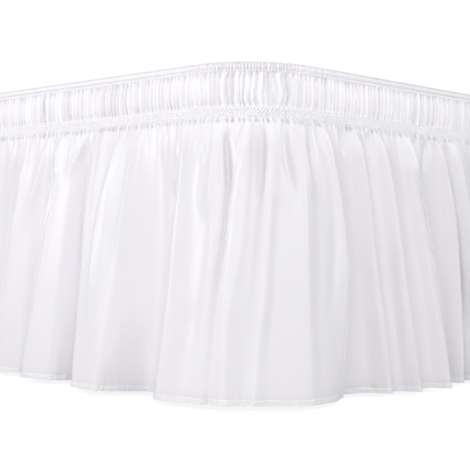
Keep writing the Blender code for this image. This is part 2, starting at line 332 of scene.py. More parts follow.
def line_point(run, out):
    """Plan positions at runs along the bands' outer face, moved outwards by out."""
    run, out = np.broadcast_arrays(np.asarray(run, float), np.asarray(out, float))
    left = np.mod(run + ARC / 2, PERIMETER)
    x, y = np.zeros(left.shape), np.zeros(left.shape)
    for corner, (sign_x, sign_y) in enumerate(CORNER_SIGNS):
        side = (SIDE_Y, SIDE_X)[corner % 2]
        centre_x = sign_x * (LINE_X - LINE_RADIUS)
        centre_y = sign_y * (LINE_Y - LINE_RADIUS)
        along = np.clip(left, 0.0, ARC)
        past = np.clip(left - ARC, 0.0, None)
        angle = math.radians(90 * (corner - 1)) + along / LINE_RADIUS
        here = left >= 0
        reach = LINE_RADIUS + out
        x = np.where(here, centre_x + reach * np.cos(angle) - past * np.sin(angle), x)
        y = np.where(here, centre_y + reach * np.sin(angle) + past * np.cos(angle), y)
        left = left - ARC - side
    return x, y


def half_way_round(run):
    """Runs counted both ways from the corner, up to half the way round."""
    return np.mod(run + PERIMETER / 2, PERIMETER) - PERIMETER / 2


def bell(away, half):
    """1 where away is 0, falling softly to 0 on both sides."""
    return np.exp(-((away / half) ** 2))


def corner_share(run):
    """1 at the middle of each corner, where the elastic draws the cloth up most, 0 between."""
    share = sum(bell(np.abs(half_way_round(run - middle)), CORNER_REACH) for middle in CORNER_RUNS)
    return np.clip(share, 0, 1)


def soft_step(value):
    value = np.clip(value, 0.0, 1.0)
    return value * value * (3 - 2 * value)


def random_for(thing):
    """Random numbers that are the same in each run."""
    return np.random.default_rng(sizes().seed + SEEDS[thing])


def wander(run, spacing, rng):
    """Smooth random values from -1 to 1 along the ring, with a new one every spacing."""
    count = max(4, round(PERIMETER / spacing))
    knots = rng.uniform(-1, 1, count)
    place = np.mod(run, PERIMETER) / PERIMETER * count
    knot = np.floor(place).astype(int)
    ease = soft_step(place - knot)
    return knots[knot % count] * (1 - ease) + knots[(knot + 1) % count] * ease


def drift(run, drop, drifts, rng):
    """Smooth random heights over the cloth, the sum of drifts of a height, width and drop."""
    total = 0.0
    for height, spacing, tall in drifts:
        level = np.clip(drop, 0, None) / tall
        row = np.floor(level).astype(int)
        ease = soft_step(level - row)
        rows = [wander(run, spacing, rng) for _ in range(int(row.max()) + 2)]
        stack = np.stack(np.broadcast_arrays(*rows))
        above = np.take_along_axis(stack, row[None], axis=0)[0]
        below = np.take_along_axis(stack, row[None] + 1, axis=0)[0]
        total = total + height * (above * (1 - ease) + below * ease)
    return total


def valleys(run, pitch, uneven, tilt, square, rng):
    """Depth of uneven gathers, from 0 on the ridges to about 1 in the valleys. They lean over
    like tiles, one way or the other, with one slope long and the other steep. The smaller
    square is, the broader are the valleys and the narrower the ridges."""
    count = round(PERIMETER / pitch)
    ridges = (np.arange(count) + rng.uniform(-uneven, uneven, count)) * PERIMETER / count
    depth = rng.uniform(*VALLEY_DEPTHS, count)
    skew = 2 ** rng.uniform(-tilt, tilt, count)
    ridges = np.concatenate([[ridges[-1] - PERIMETER], ridges, [ridges[0] + PERIMETER]])
    depth = np.concatenate([[depth[-1]], depth])
    skew = np.concatenate([[skew[-1]], skew])
    place = np.mod(run, PERIMETER)
    number = np.clip(np.searchsorted(ridges, place, side="right") - 1, 0, count)
    phase = (place - ridges[number]) / (ridges[number + 1] - ridges[number])
    return depth[number] * np.clip(np.sin(math.pi * phase ** skew[number]), 0, None) ** square


# ---- Meshes ----

# Spacing of the heading's and the bands' mesh columns, in metres, either side of the corner.
RingStep = namedtuple("RingStep", "inner reach spacing")

RING_STEPS = (
    RingStep(0.0, 0.46, 0.0005),
    RingStep(0.46, 0.62, 0.001),
)
RING_PLAIN_STEP = 0.0026


def face_directions(points):
    """Outward unit normals of a grid of points, rows from the top down, columns by run."""
    down = np.gradient(points, axis=0)
    along = np.gradient(points, axis=1)
    normals = np.cross(down, along)
    return normals / np.linalg.norm(normals, axis=2, keepdims=True)


def mesh_of(name, points, quads, uv, rim, depth):
    """A smooth mesh of cloth in four-sided faces. uv has one pair for each corner of each face.
    Edges between rim points are kept sharp. depth is how deep the outer face's points lie
    between the gathers, which the cloth's material turns into painted shade. The other points come last
    and keep 0."""
    mesh = bpy.data.meshes.new(name)
    mesh.vertices.add(len(points))
    mesh.vertices.foreach_set("co", points.astype(np.float32).ravel())
    mesh.loops.add(quads.size)
    mesh.loops.foreach_set("vertex_index", quads.astype(np.int32).ravel())
    mesh.polygons.add(len(quads))
    mesh.polygons.foreach_set("loop_start", np.arange(0, quads.size, 4, dtype=np.int32))
    layer = mesh.uv_layers.new(name="cloth")
    layer.data.foreach_set("uv", uv.astype(np.float32).ravel())
    mesh.update(calc_edges=True)
    mesh.validate()
    mesh.shade_smooth()
    deep = np.zeros(len(points), np.float32)
    deep[:depth.size] = np.clip(depth, 0, 1).ravel()
    mesh.attributes.new("painted_gather_shade", "FLOAT", "POINT").data.foreach_set("value", deep)
    ends = np.zeros(len(mesh.edges) * 2, np.int32)
    mesh.edges.foreach_get("vertices", ends)
    sharp = rim[ends.reshape(-1, 2)].all(axis=1)
    mesh.attributes.new("sharp_edge", "BOOLEAN", "EDGE").data.foreach_set("value", sharp)
    return mesh


def put_in_scene(name, data):
    thing = bpy.data.objects.new(name, data)
    bpy.context.scene.collection.objects.link(thing)
    return thing


def add_piece(name, mesh, material):
    mesh.materials.append(material)
    return put_in_scene(name, mesh)


def add_cloth(name, mesh, material, node):
    """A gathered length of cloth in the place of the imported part's node."""
    cloth = add_piece(name, mesh, material)
    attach(cloth, BODY)
    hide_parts(node)


def closed_ring(name, outer, inner, flat_run, depth):
    """A ring of cloth: outer rows from the top down, inner rows from the bottom up."""
    loops = np.concatenate([outer, inner])
    rows, columns = loops.shape[:2]
    points = loops.reshape(-1, 3)
    r, c = np.meshgrid(np.arange(rows), np.arange(columns), indexing="ij")
    next_r, next_c = (r + 1) % rows, (c + 1) % columns
    quads = np.stack(
        [r * columns + c, next_r * columns + c, next_r * columns + next_c, r * columns + next_c],
        axis=2,
    ).reshape(-1, 4)
    drop = np.concatenate([[0.0], np.cumsum(np.linalg.norm(np.diff(loops[:, 0], axis=0), axis=1))])
    run_here, run_next = flat_run, np.append(flat_run[1:], flat_run[0] + PERIMETER * FULLNESS)
    drop_next = np.append(drop[1:], drop[-1] + drop[1])
    u = np.stack([run_here[c], run_here[c], run_next[c], run_next[c]], axis=2)
    v = -np.stack([drop[r], drop_next[r], drop_next[r], drop[r]], axis=2)
    uv = np.stack([u, v], axis=3).reshape(-1, 2)
    rim = np.zeros((rows, columns), bool)
    rim[[0, len(outer) - 1, len(outer), rows - 1]] = True
    return mesh_of(name, points, quads, uv, rim.ravel(), depth)


def closed_panel(name, outer, inner, flat_run, drops, depth):
    """A length of cloth with two faces and four thin edges. Both grids run from the top down."""
    rows, columns = outer.shape[:2]
    points = np.concatenate([outer.reshape(-1, 3), inner.reshape(-1, 3)])
    index = np.arange(rows * columns).reshape(rows, columns)
    back = index + rows * columns

    def strip(a, b, c, d):
        return np.stack([a, b, c, d], axis=-1).reshape(-1, 4)

    front = strip(index[:-1, :-1], index[1:, :-1], index[1:, 1:], index[:-1, 1:])
    rear = strip(back[:-1, :-1], back[:-1, 1:], back[1:, 1:], back[1:, :-1])
    top = strip(index[0, :-1], index[0, 1:], back[0, 1:], back[0, :-1])
    foot = strip(index[-1, 1:], index[-1, :-1], back[-1, :-1], back[-1, 1:])
    start = strip(index[1:, 0], index[:-1, 0], back[:-1, 0], back[1:, 0])
    end = strip(index[:-1, -1], index[1:, -1], back[1:, -1], back[:-1, -1])
    quads = np.concatenate([front, rear, top, foot, start, end])
    u = np.tile(np.broadcast_to(flat_run, (rows, columns)).ravel(), 2)
    v = -np.tile(np.repeat(drops, columns), 2)
    uv = np.stack([u[quads], v[quads]], axis=2).reshape(-1, 2)
    rim = np.zeros(len(points), bool)
    for side in (index, back):
        rim[side[0]] = rim[side[-1]] = True
        rim[side[:, 0]] = rim[side[:, -1]] = True
    return mesh_of(name, points, quads, uv, rim, depth)


def ring_runs():
    """Runs round the ring: finest at the photographed corner, coarser along the rest."""
    runs = []
    start = -RING_STEPS[-1].reach
    for step in reversed(RING_STEPS):
        runs.append(np.arange(start, -step.inner, step.spacing))
        start = -step.inner
    near = np.concatenate(runs)
    near = np.concatenate([near, [0.0], -near[::-1]])
    rest = PERIMETER - 2 * RING_STEPS[-1].reach
    count = round(rest / RING_PLAIN_STEP)
    return np.concatenate([near[:-1], RING_STEPS[-1].reach + np.arange(count) * rest / count])


# ---- The ruffle ----


def plain_fold_lines(start, width, rng):
    """The crest, the slope behind it and the trough of one wide fold, in millimetres."""
    crest = rng.uniform(*PLAIN_CREST_OUT)
    slope = crest - rng.uniform(*PLAIN_SLOPE_DROP)
    trough = rng.uniform(*PLAIN_TROUGH_OUT)
    lean = rng.uniform(-PLAIN_LEAN, PLAIN_LEAN)
    lines = []
    for line, out in zip(PLAIN_LINES, (crest, slope, trough)):
        run = start + line.at * width
        run_top, run_half = run + line.side * lean, run + line.side * lean / 2
        lines.append(FoldLine(line.kind, run_top, run_half, run, line.half * out, out))
    return lines


def plain_folds(start, end, rng):
    """Fold lines from the trough at start up to the next crest, which is at end."""
    count = round((end - start) / PLAIN_FOLD_PITCH)
    widths = [1 + rng.uniform(-PLAIN_FOLD_UNEVEN, PLAIN_FOLD_UNEVEN) for _ in range(count)]
    scale = (end - start) / (sum(widths) + PLAIN_LINES[0].at)
    folds = []
    run = start
    for width in widths:
        folds += plain_fold_lines(run, width * scale, rng)
        run += width * scale
    return folds


def all_folds():
    """Every fold line round the bed, in order of run."""
    first = CORNER_FOLDS[0]
    last = CORNER_FOLDS[-1]
    rest = plain_folds(last.run_hem, first.run_hem + PERIMETER / MM, random.Random(FOLD_SEED))
    return list(CORNER_FOLDS) + rest


def through_three(top, half, hem, share, halfway=HALFWAY):
    """The smooth curve with the values top at 0, half at halfway and hem at 1."""
    rise = hem - top
    bow = (half - top - rise * halfway) / (halfway * (1 - halfway))
    return top + rise * share + bow * share * (1 - share)


def swing_out(start, half, hem, share):
    """How far out a fold line stands: it leaves the band steeply, then hangs straighter."""
    if share == 0:
        return start
    power = math.log((half - start) / (hem - start)) / math.log(HALFWAY)
    power = min(max(power, LEAST_SWING), MOST_SWING)
    return start + (hem - start) * share**power


def folds_at(folds, share):
    """Runs and distances out of all fold lines at a share of the drop, in metres."""
    runs, outs = [], []
    for fold in folds:
        start = RUFFLE_CREST_START if fold.kind == "crest" else RUFFLE_TROUGH_START
        runs.append(through_three(fold.run_top, fold.run_half, fold.run_hem, share) * MM)
        outs.append(swing_out(start, fold.out_half * MM, fold.out_hem * MM, share))
    return np.array(runs), np.array(outs)


def fold_slopes(runs, outs, crests):
    """Steps to the next fold line, and the slopes before and after each line. They never pass
    the crests and troughs, and a crest keeps a share of both slopes, so that it is creased."""
    steps = np.mod(np.roll(runs, -1) - runs, PERIMETER)
    rises = (np.roll(outs, -1) - outs) / steps
    before = np.roll(rises, 1)
    with np.errstate(divide="ignore", invalid="ignore"):
        mean = 2 * before * rises / (before + rises)
    smooth = np.where(before * rises > 0, mean, 0.0)
    creased_before = np.where(crests, CREST_CREASE * before, smooth)
    creased_after = np.where(crests, CREST_CREASE * rises, smooth)
    return steps, creased_before, creased_after


def hanging_cloth(folds, number, share, drops):
    """The folded surface before its small gathers: points, their runs and distances out."""
    rows, runs_here, outs_here = [], [], []
    following = (number + 1) % len(folds)
    crests = np.array([fold.kind == "crest" for fold in folds])
    t = share
    for drop in drops:
        runs, outs = folds_at(folds, min(max(drop / DROP, 0.0), 1.0))
        steps, slopes_before, slopes_after = fold_slopes(runs, outs, crests)
        width = steps[number]
        out = (
            (2 * t**3 - 3 * t**2 + 1) * outs[number]
            + (t**3 - 2 * t**2 + t) * width * slopes_after[number]
            + (3 * t**2 - 2 * t**3) * outs[following]
            + (t**3 - t**2) * width * slopes_before[following]
        )
        run = runs[number] + width * t
        x, y = line_point(run, out)
        rows.append(np.stack([x, y, np.full(x.shape, RUFFLE_TOP - drop)], axis=1))
        runs_here.append(run)
        outs_here.append(out)
    return np.stack(rows), np.stack(runs_here), np.stack(outs_here)


def ruffle_columns(folds, first, last, steps):
    """Fold numbers and shares for the columns from fold line first to fold line last."""
    runs, _ = folds_at(folds, 0.0)
    widths = np.mod(np.roll(runs, -1) - runs, PERIMETER)
    runs, outs = folds_at(folds, 1.0)
    travel = np.hypot(np.mod(np.roll(runs, -1) - runs, PERIMETER), np.roll(outs, -1) - outs)
    number, share = [], []
    for i in range(first, last):
        fold = i % len(folds)
        count = max(3, round(max(widths[fold] / steps.top, travel[fold] / steps.hem)))
        number += [fold] * count
        share += [j / count for j in range(count)]
    number.append(last % len(folds))
    share.append(0.0)
    return np.array(number), np.array(share)


# The ruffle's mesh: the widest columns at its top and hem and the widest rows between. Rows start
# close together under the band, and more follow the hem, in metres above its stitches and edge.
PanelSteps = namedtuple("PanelSteps", "top hem row")
CORNER_STEPS = PanelSteps(0.0011, 0.002, 0.0075)
PLAIN_STEPS = PanelSteps(0.0032, 0.005, 0.017)
FIRST_ROW = 0.0012
ROW_GROWTH = 1.15
HEM_ROOM = 0.004
ROWS_AT_STITCHES = (0.0015, 0.0005, 0.0, -0.0006, -0.0016)
ROWS_AT_EDGE = (0.0022, 0.0006, 0.0)

# The row of ruffle_drops along which the hem is stitched, just under its fold.
STITCHED_ROW = -4


def ruffle_drops(widest):
    """Distances down from the band, close together in the gathers and at the hem."""
    line = DROP - sizes().hem_tall
    drops = [0.0]
    step = FIRST_ROW
    while drops[-1] + step < line - HEM_ROOM:
        drops.append(drops[-1] + step)
        step = min(step * ROW_GROWTH, widest)
    drops += [line - above for above in ROWS_AT_STITCHES]
    return np.array(drops + [DROP - above for above in ROWS_AT_EDGE])


# The tucks run on from the bands into the ruffle and fade: their lean for each metre down, their
# reach, the height between them, and how deep they are and their pits just under the band. Each
# every is the distance along the band in which a lean or a reach changes.
TUCK_LEAN, TUCK_LEAN_EVERY = 0.13, 0.03
TUCK_REACH, TUCK_REACH_UNEVEN, TUCK_REACH_EVERY = 0.020, 0.5, 0.017
TUCK_CROWN = 0.0026
TUCK_DEEP = 0.0016
PIT_DEEP = 0.0062
PIT_DROP = 0.0034
PIT_HALF = 0.0023
FADE_POWER = 1.5
GATHER_LEAN_EVERY = 0.045
GATHER_REACH_UNEVEN, GATHER_REACH_EVERY = 0.45, 0.022
GATHER_RISE, GATHER_START = 0.02, 0.1
GATHER_CROWN = 0.4


def fade(drop, reach):
    return np.exp(-((drop / reach) ** FADE_POWER))


def small_gathers(run_top, drop):
    """Height of the gathers that start at the band and merge into the wide folds."""
    rng = random_for("ruffle tucks")
    lean = wander(run_top, TUCK_LEAN_EVERY, rng) * TUCK_LEAN * drop
    reach = TUCK_REACH * (1 + TUCK_REACH_UNEVEN * wander(run_top, TUCK_REACH_EVERY, rng))
    height = TUCK_CROWN - TUCK_DEEP * tucks(run_top, lean, TUCK_SQUARE) * fade(drop, reach)
    height = height - PIT_DEEP * tucks(run_top, lean, PIT_SQUARE) * bell(drop - PIT_DROP, PIT_HALF)
    for gather in GATHERS:
        rng = np.random.default_rng(gather.seed + sizes().seed)
        lean = wander(run_top, GATHER_LEAN_EVERY, rng) * gather.lean * MM * drop
        valley = valleys(run_top + lean, gather.pitch * MM, TUCK_UNEVEN, TUCK_TILT, GATHER_SQUARE, rng)
        uneven = 1 + GATHER_REACH_UNEVEN * wander(run_top, GATHER_REACH_EVERY, rng)
        reach = gather.reach * MM * uneven
        shown = fade(drop, reach) * soft_step(drop / GATHER_RISE + GATHER_START)
        height = height + gather.height * MM * shown * (GATHER_CROWN - valley)
    return height


# A ridge has a rounded top and long flanks. A crease rises over a share of its length and fades
# over a larger one, and over no more than so many millimetres.
RIDGE_ROUND = 0.35
RIDGE_STEEP = 1.9
RISE_SHARE, LONGEST_RISE = 0.3, 22
FADE_SHARE, LONGEST_FADE = 0.5, 90


def creases(run, drop):
    """Height of the listed ridges and troughs in the folds near the corner."""
    run = half_way_round(run) / MM
    drop = drop / MM
    height = np.zeros(run.shape)
    for crease in CREASES:
        long = crease.end - crease.start
        share = np.clip((drop - crease.start) / long, 0, 1)
        side = run - through_three(crease.run_start, crease.run_middle, crease.run_end, share, 0.5)
        side = side / np.where(side < 0, crease.left, crease.right)
        if crease.height > 0:
            profile = np.exp(RIDGE_ROUND - np.sqrt(RIDGE_STEEP * side**2 + RIDGE_ROUND**2))
        else:
            profile = np.exp(-(side**2))
        begin = soft_step((drop - crease.start) / min(RISE_SHARE * long, LONGEST_RISE))
        finish = soft_step((crease.end - drop) / min(FADE_SHARE * long, LONGEST_FADE))
        height = height + crease.height * MM * profile * begin * finish
    return height


HEM_RAISED, HEM_STEP = 0.0003, 0.0006
GROOVE_DEEP, GROOVE_HALF = 0.0003, 0.0007
PUCKER_PITCH, PUCKER_UNEVEN, PUCKER_CROWN = 0.0042, 0.35, 0.4
PUCKER_HEIGHT, PUCKER_REACH = 0.0011, 0.0065
PUCKER_REACH_UNEVEN, PUCKER_REACH_EVERY = 0.4, 0.012


def hem_finish(run_top, drop):
    """The turned hem stands out a little, with a groove and puckers along its stitches."""
    rng = random_for("hem")
    below = drop - (DROP - sizes().hem_tall)
    raised = HEM_RAISED * soft_step(below / HEM_STEP + 0.5)
    groove = GROOVE_DEEP * bell(below, GROOVE_HALF)
    pucker = PUCKER_CROWN - valleys(run_top, PUCKER_PITCH, PUCKER_UNEVEN, GATHER_TILT, 1.0, rng)
    uneven = 1 + PUCKER_REACH_UNEVEN * wander(run_top, PUCKER_REACH_EVERY, rng)
    return raised - groove + PUCKER_HEIGHT * bell(below, PUCKER_REACH * uneven) * pucker


# Slow unevenness of the hanging cloth: height, width and drop, and how soon below the band.
CLOTH_DRIFTS = ((0.0012, 0.045, 0.11), (0.0005, 0.016, 0.05))
DRIFT_START = 0.05

# Gathers get painted shade by their depth: where it starts, the most, and how far down the cloth.
SHADE_FROM, SHADE_SPAN, SHADE_REACH = 0.0022, 0.0075, 0.03
# How much paler the painted shade is at the corners.
CORNER_PALER = 0.6
SEAM_FADE = 0.0016
RELIEF_LIFT = 0.5  # how much of its rise or fall the relief keeps, so that the hem stays level
HEM_LAYER_STEP = 0.001


def hang_panel(name, folds, first, last, steps, cloth):
    """One length of the ruffle, from fold line first to fold line last."""
    number, share = ruffle_columns(folds, first, last, steps)
    drops = ruffle_drops(steps.row)
    points, runs, outs = hanging_cloth(folds, number, share, drops)
    run_top = runs[:1]
    drop = drops[:, None]
    small = small_gathers(run_top, drop)
    # Painted shade: the deeper the small gathers under the band, the darker the cloth's colour, paler at
    # the corners.
    depth = (SHADE_FROM - small) / SHADE_SPAN * bell(drop, SHADE_REACH)
    depth = depth * (1 - CORNER_PALER * corner_share(run_top))
    slow = drift(run_top, np.broadcast_to(drop, runs.shape), CLOTH_DRIFTS, random_for("drift"))
    relief = small + creases(runs, drop) + hem_finish(run_top, drop) + slow * soft_step(drop / DRIFT_START)
    loose = soft_step(drop / SEAM_FADE)
    relief = relief * loose + (seam_out(run_top) - outs) * (1 - loose)
    thick = sizes().cloth_thick
    relief = np.maximum(relief, 2 * thick - outs - BAND_THICK)
    outer = points + face_directions(points) * relief[..., None]
    lift = (outer[..., 2] - points[..., 2]) * RELIEF_LIFT
    outer[..., 2] = np.clip(points[..., 2] + lift, HEM, RUFFLE_TOP)
    outer[0, :, 2] = RUFFLE_TOP
    layers = thick * (1 + soft_step((drop - DROP + sizes().hem_tall) / HEM_LAYER_STEP))
    inner = outer - face_directions(outer) * layers[..., None]
    inner[[0, -1], :, 2] = outer[[0, -1], :, 2]
    flat_run = np.unwrap(run_top[0] * 2 * math.pi / PERIMETER) * PERIMETER / (2 * math.pi) * FULLNESS
    mesh = closed_panel(name, outer, inner, flat_run, drops, depth)
    add_cloth(name, mesh, cloth, "skirt_ruffle")
    return outer[STITCHED_ROW]


# ---- Heading and bands ----

SEAM_CROWN, SEAM_DEEP = 0.0012, 0.0014

# The heading's gather holes: how far from the bands and, up and down, how tall.
HOLE_FROM_BAND = 0.0038
UPPER_HOLE_HALF, LOWER_HOLE_HALF = 0.0022, 0.0030
OPEN_TUCK, OPEN_PIT, UPPER_HOLE, LOWER_HOLE = 0.35, 0.35, 0.8, 0.5

# Rows of the heading's mesh, in millimetres below the upper band, and its form: how its tucks
# wobble, how much their depth varies, and how it stands out at its edges and puffs between them.
HEADING_ROWS = (0, 1.2, 2.6, 4.0, 5.4, 7.2, 11.0, 17.0, 24.0, 30.0, 34.0, 36.4, 38.4, 40.0)
HEADING_WOBBLE = ((0.0014, 0.011, 0.013), (0.0024, 0.03, 0.03))
HEADING_DEPTH, HEADING_DEPTH_DRIFT = 0.9, ((0.3, 0.014, 0.02),)
HEADING_CROWN, HEADING_PUFF, PUFF_FULL = 0.0014, 0.0026, 0.6
PUFF_UNEVEN, PUFF_EVERY = 0.25, 0.05
HEADING_FADE, WOBBLE_FADE, SIDE_WOBBLE = 0.0025, 0.008, 0.3
LEAST_HEADING = 0.0013
# How much painted shade the heading's tucks get by their depth, less at the corners.
HEADING_SHADE, HEADING_CORNER_PALER = 1.12, 0.45

# The rows of the bands' meshes, and their puffs between the stitch rows: heights and widths in
# metres.
UPPER_MESH_ROWS, LOWER_MESH_ROWS = 12, 17
UPPER_CROWN = 0.0014
UPPER_GROOVE, UPPER_CORNER_GROOVE, UPPER_GROOVE_HALF = 0.0016, 0.0008, 0.0011
UPPER_WOBBLE = ((0.0005, 0.009, 0.006),)
UPPER_STRIP_FOOT, STRIP_CHANGE = 0.0065, 0.003
UPPER_PULL, LOWER_PULL_MORE = 0.0004, 0.0012
CORNER_PULL, LOWER_CORNER_PULL_LESS = 0.0032, 0.0010
UPPER_PUFF_CROWN, LOWER_PUFF_CROWN = 0.7, 0.6
UPPER_FADE = 0.002
LOWER_CROWN, LOWER_PUFF = 0.0009, 0.0036
LOWER_EDGE_STRIP = 0.0032
LOWER_PITCH_SHARE = 1.15
LOWER_FADE = 0.0014
LEAST_BAND = -0.0022
# Painted shade on the bands by their depth: where it starts and how far it runs to the most.
BAND_SHADE_FROM, BAND_SHADE_SPAN = 0.0026, 0.0046
BACK_CLEAR = 0.0002


def tucks(run, wobble, square):
    """Depth of the valleys between the upright tucks. They run on from the heading through the
    bands into the ruffle, because all are one gathered strip."""
    rng = random_for("tucks")
    return valleys(run + wobble, sizes().tuck_pitch, TUCK_UNEVEN, TUCK_TILT, square, rng)


def seam_out(run):
    """How far out heading, bands and ruffle all stand where they are sewn to one another."""
    return SEAM_CROWN - SEAM_DEEP * tucks(run, 0.0, GATHER_SQUARE)


def sewn_in(out, run, from_seam, seam_fade):
    """The form out, drawn in to where the pieces are sewn together."""
    loose = soft_step(from_seam / seam_fade)
    return out * loose + seam_out(run) * (1 - loose)


def heading_depth(run, drop, tall, wobble):
    """How deep the tucks are: open along the middle, and deepest in the small dark gather holes
    beside the bands."""
    upper_hole = bell(drop - HOLE_FROM_BAND, UPPER_HOLE_HALF)
    lower_hole = bell(tall - drop - HOLE_FROM_BAND, LOWER_HOLE_HALF)
    pit = tucks(run, wobble, PIT_SQUARE)
    open_tuck = OPEN_TUCK * tucks(run, wobble, TUCK_SQUARE) + OPEN_PIT * pit
    return open_tuck + (UPPER_HOLE * upper_hole + LOWER_HOLE * lower_hole) * pit


def heading_form(run, drop, tall):
    """The shirred strip: uneven upright tucks between the two elastics."""
    rng = random_for("heading")
    from_seam = np.minimum(drop, tall - drop)
    corner = corner_share(run)
    wobble = drift(run, drop, HEADING_WOBBLE, rng)
    wobble = wobble * soft_step(from_seam / WOBBLE_FADE)
    wobble = wobble * (SIDE_WOBBLE + (1 - SIDE_WOBBLE) * corner)
    share = HEADING_DEPTH + drift(run, drop, HEADING_DEPTH_DRIFT, rng)
    puff = np.clip(np.sin(math.pi * drop / tall), 0, None) ** PUFF_FULL
    crown = HEADING_CROWN + HEADING_PUFF * puff * (1 + PUFF_UNEVEN * wander(run, PUFF_EVERY, rng))
    depth = share * heading_depth(run, drop, tall, wobble)
    out = sewn_in(crown - sizes().tuck_height * depth, run, from_seam, HEADING_FADE)
    # Painted shade: the deeper the tucks, the darker the heading's colour, paler at the corners.
    shade = depth * (HEADING_SHADE - HEADING_CORNER_PALER * corner)
    return np.maximum(out, LEAST_HEADING - BAND_THICK), shade


def band_gathers(run, pitch, crown, rng):
    return valleys(run, pitch, BAND_UNEVEN, GATHER_TILT, BAND_SQUARE, rng) - crown


def band_form(out):
    """How far out a band's points stand, and how much painted shade they get by their depth."""
    return np.maximum(out, LEAST_BAND), (BAND_SHADE_FROM - out) / BAND_SHADE_SPAN


def upper_band_form(run, drop, tall):
    """The upper band: two rolled strips between sewn grooves. Gathers cross it, faint on the
    long sides' upper strip and deep at the corners."""
    rng = random_for("upper band")
    corner = corner_share(run)
    out = UPPER_CROWN + np.zeros(run.shape)
    for row in UPPER_ROWS:
        out = out - (UPPER_GROOVE - UPPER_CORNER_GROOVE * corner) * bell(drop - row, UPPER_GROOVE_HALF)
    wobble = drift(run, drop, UPPER_WOBBLE, rng)
    gather = band_gathers(run + wobble, sizes().band_gather_pitch, UPPER_PUFF_CROWN, rng)
    lower = soft_step((drop - UPPER_STRIP_FOOT) / STRIP_CHANGE)
    pull = UPPER_PULL + LOWER_PULL_MORE * lower
    pull = pull + (CORNER_PULL - LOWER_CORNER_PULL_LESS * lower) * corner
    return band_form(sewn_in(out + pull * gather, run, tall - drop, UPPER_FADE))


def lower_band_form(run, drop, tall):
    """The lower band: strips of small puffs, each with puffs of its own, between four rows of
    stitches."""
    out = LOWER_CROWN + np.zeros(run.shape)
    pitch = sizes().band_gather_pitch * LOWER_PITCH_SHARE
    edges = (LOWER_ROWS[0] - LOWER_EDGE_STRIP, *LOWER_ROWS, LOWER_ROWS[-1] + LOWER_EDGE_STRIP)
    for number, (top, foot) in enumerate(zip(edges, edges[1:])):
        bulge = np.clip(np.sin(math.pi * (drop - top) / (foot - top)), 0, None)
        bulge = bulge * (drop >= top) * (drop < foot)
        start = number % 2 * pitch / 2
        puffs = band_gathers(run + start, pitch, LOWER_PUFF_CROWN, random_for("lower band"))
        out = out + LOWER_PUFF * bulge * puffs
    return band_form(sewn_in(out, run, np.minimum(drop, tall - drop), LOWER_FADE))


def sew_ring(name, node, foot, top, drops, form, cloth):
    """A gathered ring of cloth round the box spring, smooth on the side next to it. form gives
    how far out the points at these drops below its top stand, and how much painted shade they get."""
    runs = ring_runs()
    run = np.broadcast_to(runs, (len(drops), len(runs)))
    drop = np.broadcast_to(drops[:, None], run.shape)
    out, shade = form(run, drop, top - foot)
    x, y = line_point(run, out)
    outer = np.stack([x, y, top - drop], axis=2)
    x, y = line_point(np.stack([runs, runs]), BACK_CLEAR - BAND_THICK)
    back = np.stack([x, y, np.array([foot, top])[:, None] + np.zeros(len(runs))], axis=2)
    mesh = closed_ring(name, outer, back, runs * FULLNESS, shade)
    add_cloth(name, mesh, cloth, node)


# ---- Materials ----


# Blender's wave texture has waves of this length at a scale of 1.
WAVE_LENGTH = 0.314

# The sockets of a Mix node that mixes colours, which share their names with others.
MIX_COLOURS = {"data_type": "RGBA"}
MIX_A, MIX_B, MIX_RESULT = 6, 7, 2


def linear(colour, gain=1.0):
    """Linear red, green, blue and alpha of an sRGB colour, made lighter or darker by gain."""
    values = (c / 12.92 if c <= 0.04045 else ((c + 0.055) / 1.055) ** 2.4 for c in colour)
    return (*(min(1.0, c * gain) for c in values), 1.0)


def add_node(tree, kind, settings=None, inputs=None, links=None):
    """Adds a node: its properties, its unlinked inputs, and links as input to (node, output)."""
    node = tree.nodes.new(kind)
    for name, value in (settings or {}).items():
        setattr(node, name, value)
    for name, value in (inputs or {}).items():
        node.inputs[name].default_value = value
    for name, (source, output) in (links or {}).items():
        tree.links.new(source.outputs[output], node.inputs[name])
    return node


def new_material(name, values):
    """A material whose shader has these values, the same all over."""
    material = bpy.data.materials.new(name)
    material.use_nodes = True
    shader = material.node_tree.nodes["Principled BSDF"]
    for socket, value in values.items():
        shader.inputs[socket].default_value = value
    return material, material.node_tree, shader


def plain_weave(tree, place, thread_spacing, distortion):
    """Threads over and under one another: waves along the warp times waves along the weft."""
    warp, weft = (
        add_node(
            tree, "ShaderNodeTexWave", settings={"bands_direction": direction},
            inputs={
                "Scale": WAVE_LENGTH / thread_spacing, "Distortion": distortion, "Detail": 1.0,
            },
            links={"Vector": place},
        )
        for direction in "XY"
    )
    return add_node(
        tree, "ShaderNodeMath", settings={"operation": "MULTIPLY"},
        links={0: (warp, "Fac"), 1: (weft, "Fac")},
    )


def mottle(tree, shader, place, noise, colour, dark, light):
    """Noise that takes the shader's colour from a darker to a lighter shade."""
    cloud = add_node(tree, "ShaderNodeTexNoise", inputs=noise, links={"Vector": place})
    tint = add_node(
        tree, "ShaderNodeMix", settings=MIX_COLOURS,
        inputs={MIX_A: linear(colour, dark), MIX_B: linear(colour, light)},
        links={"Factor": (cloud, "Fac")},
    )
    tree.links.new(tint.outputs[MIX_RESULT], shader.inputs["Base Color"])
    return cloud


